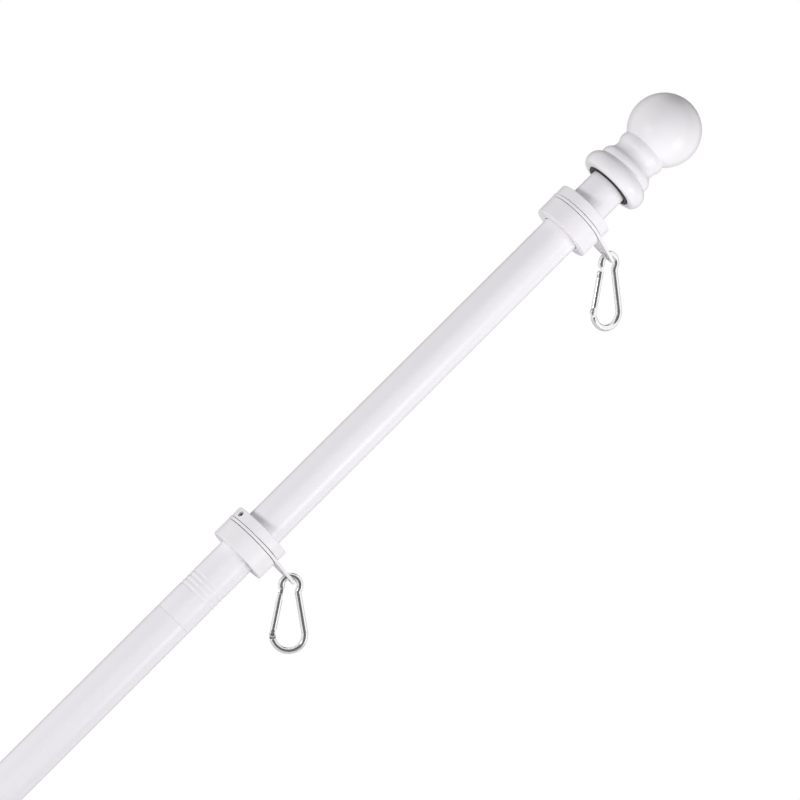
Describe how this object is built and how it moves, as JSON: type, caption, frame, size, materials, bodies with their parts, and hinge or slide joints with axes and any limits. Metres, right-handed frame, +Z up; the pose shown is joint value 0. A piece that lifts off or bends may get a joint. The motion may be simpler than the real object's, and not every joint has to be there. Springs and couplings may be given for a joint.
{
  "type": "flagpole",
  "caption": "Sectional white flagpole for a wall bracket, leaning outwards, with a ball finial and spinning rings that carry snap hooks for the flag.",
  "frame": {"origin": "centre of the pole's lower end face", "axes": "+Z up, +X the way the pole leans out from the wall, at 45 degrees as in the picture"},
  "size_m": [1.1446, 0.047, 1.1446],
  "materials": {
    "white_tube": "semi-gloss powder coat",
    "white_plastic": "moulded, glossy",
    "black_liner": "moulded, matt",
    "plated_steel": "bright plated",
    "plain_steel": "plain turned steel"
  },
  "bodies": {
    "pole": {"bottom_section": "white_tube", "lower_middle_section": "white_tube", "upper_middle_section": "white_tube", "top_section": "white_tube", "lower_joint_insert": "plain_steel", "middle_joint_insert": "plain_steel", "upper_joint_insert": "plain_steel", "end_cap": "white_plastic", "finial_ball": "white_plastic", "finial_liner": "black_liner", "lower_ring_collar": "white_plastic", "lower_lock_collar": "white_plastic", "lower_set_screw": "plain_steel", "upper_ring_collar": "white_plastic", "upper_lock_collar": "white_plastic", "upper_set_screw": "plain_steel"},
    "lower_ring": {"lower_spinner": "white_plastic"},
    "lower_hook": {"lower_hook_body": "plated_steel", "lower_gate_rivet": "plated_steel"},
    "lower_gate": {"lower_hook_gate": "plated_steel", "lower_latch_pin": "plated_steel"},
    "upper_ring": {"upper_spinner": "white_plastic"},
    "upper_hook": {"upper_hook_body": "plated_steel", "upper_gate_rivet": "plated_steel"},
    "upper_gate": {"upper_hook_gate": "plated_steel", "upper_latch_pin": "plated_steel"}
  },
  "joints": [
    {"name": "lower_ring_spin", "type": "hinge", "parent": "pole", "child": "lower_ring", "pos_m": [0.85694, 0, 0.85694], "axis": [0.7071, 0, 0.7071], "continuous": true},
    {"name": "lower_hook_swing", "type": "hinge", "parent": "lower_ring", "child": "lower_hook", "pos_m": [0.88248, 0.00058, 0.82831], "axis": [-0.2588, -0.9659, 0], "range_deg": [-30, 90]},
    {"name": "lower_gate_open", "type": "hinge", "parent": "lower_hook", "child": "lower_gate", "pos_m": [0.87282, 0.00317, 0.79741], "axis": [0.2588, 0.9659, 0], "range_deg": [0, 11], "stiffness_Nm_per_rad": 0.015, "springref_deg": -11.46},
    {"name": "upper_ring_spin", "type": "hinge", "parent": "pole", "child": "upper_ring", "pos_m": [1.05734, 0, 1.05734], "axis": [0.7071, 0, 0.7071], "continuous": true},
    {"name": "upper_hook_swing", "type": "hinge", "parent": "upper_ring", "child": "upper_hook", "pos_m": [1.08264, 0.00522, 1.02893], "axis": [0.2756, -0.9613, 0], "range_deg": [-30, 90]},
    {"name": "upper_gate_open", "type": "hinge", "parent": "upper_hook", "child": "upper_gate", "pos_m": [1.07303, 0.00246, 0.99803], "axis": [-0.2756, 0.9613, 0], "range_deg": [0, 11], "stiffness_Nm_per_rad": 0.015, "springref_deg": -11.46}
  ]
}
